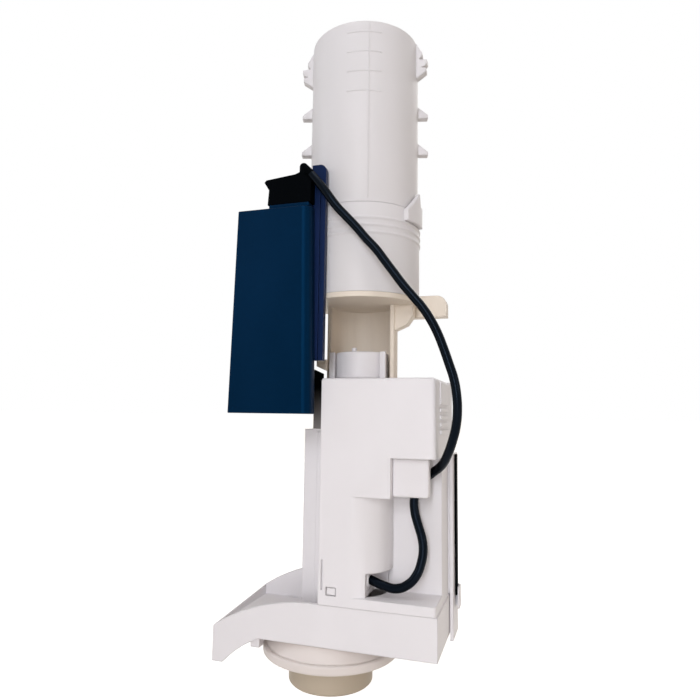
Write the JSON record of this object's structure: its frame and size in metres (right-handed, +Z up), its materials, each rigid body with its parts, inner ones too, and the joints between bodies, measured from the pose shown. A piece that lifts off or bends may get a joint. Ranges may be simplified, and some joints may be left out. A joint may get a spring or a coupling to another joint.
{
  "type": "toilet flush valve",
  "caption": "Concealed cistern flush valve: flanged outlet, curved tray, tall white housing with lift yoke and guide tube, navy air bell and black air hose.",
  "frame": {"origin": "on the outlet axis at the underside of the flange", "axes": "+X to the right in the picture, -Y to the front, +Z up along the outlet axis"},
  "size_m": [0.115, 0.0695, 0.3152],
  "materials": {
    "white_plastic": "satin moulded",
    "ivory_plastic": "satin moulded",
    "navy_plastic": "fine matt grain",
    "black_plastic": "matt",
    "black_rubber": "smooth",
    "grey_plastic": "matt",
    "steel": "drawn pin"
  },
  "bodies": {
    "frame": {"spigot": "ivory_plastic", "outlet_seat": "ivory_plastic", "tray_skirt": "ivory_plastic", "stem_guide": "ivory_plastic", "base_tray": "white_plastic", "rear_housing": "white_plastic", "side_lip": "white_plastic", "column_panel": "white_plastic", "bell_buffer": "black_rubber", "front_cover": "white_plastic", "hose_guide": "white_plastic", "cover_latch": "white_plastic", "yoke": "white_plastic", "sleeve": "white_plastic", "tube_latch": "white_plastic", "pressure_can": "white_plastic", "hose_port": "white_plastic", "bellows": "black_rubber", "lever_pin": "steel", "hose": "black_rubber"},
    "guide_tube": {"upper_tube": "white_plastic"},
    "lift": {"lift_head": "white_plastic", "head_pin": "white_plastic", "lift_rod": "white_plastic", "rod_collar": "white_plastic", "crosshead": "white_plastic", "valve_stem": "white_plastic", "seal_plate": "white_plastic", "seal_ring": "black_rubber", "seal_clip": "white_plastic"},
    "bell": {"air_bell": "navy_plastic", "bell_collar": "navy_plastic", "bell_rail": "navy_plastic", "hose_spout": "black_plastic"},
    "slider": {"flow_slider": "black_plastic"},
    "plunger": {"plunger": "white_plastic"},
    "lever": {"catch_lever": "grey_plastic"}
  },
  "joints": [
    {"name": "lift_slide", "type": "slide", "parent": "frame", "child": "lift", "axis": [0, 0, 1], "range_m": [0, 0.007]},
    {"name": "tube_twist", "type": "hinge", "parent": "frame", "child": "guide_tube", "pos_m": [0.0138, 0, 0.2], "axis": [0, 0, 1], "range_deg": [-12, 12]},
    {"name": "bell_slide", "type": "slide", "parent": "frame", "child": "bell", "axis": [0, 0, 1], "range_m": [0, 0.015], "deforming": ["hose"]},
    {"name": "flow_slide", "type": "slide", "parent": "frame", "child": "slider", "axis": [0, 0, 1], "range_m": [-0.01, 0.01]},
    {"name": "plunger_slide", "type": "slide", "parent": "frame", "child": "plunger", "axis": [0, 0, 1], "range_m": [0, 0.002], "stiffness_N_per_m": 100, "deforming": ["bellows"]},
    {"name": "lever_pivot", "type": "hinge", "parent": "frame", "child": "lever", "pos_m": [0.0155, -0.0105, 0.09], "axis": [-1, 0, 0], "range_deg": [0, 18]}
  ],
  "couplings": [
    {"joint": "lever_pivot", "follows": "plunger_slide", "rad_per_m": 157.08}
  ]
}
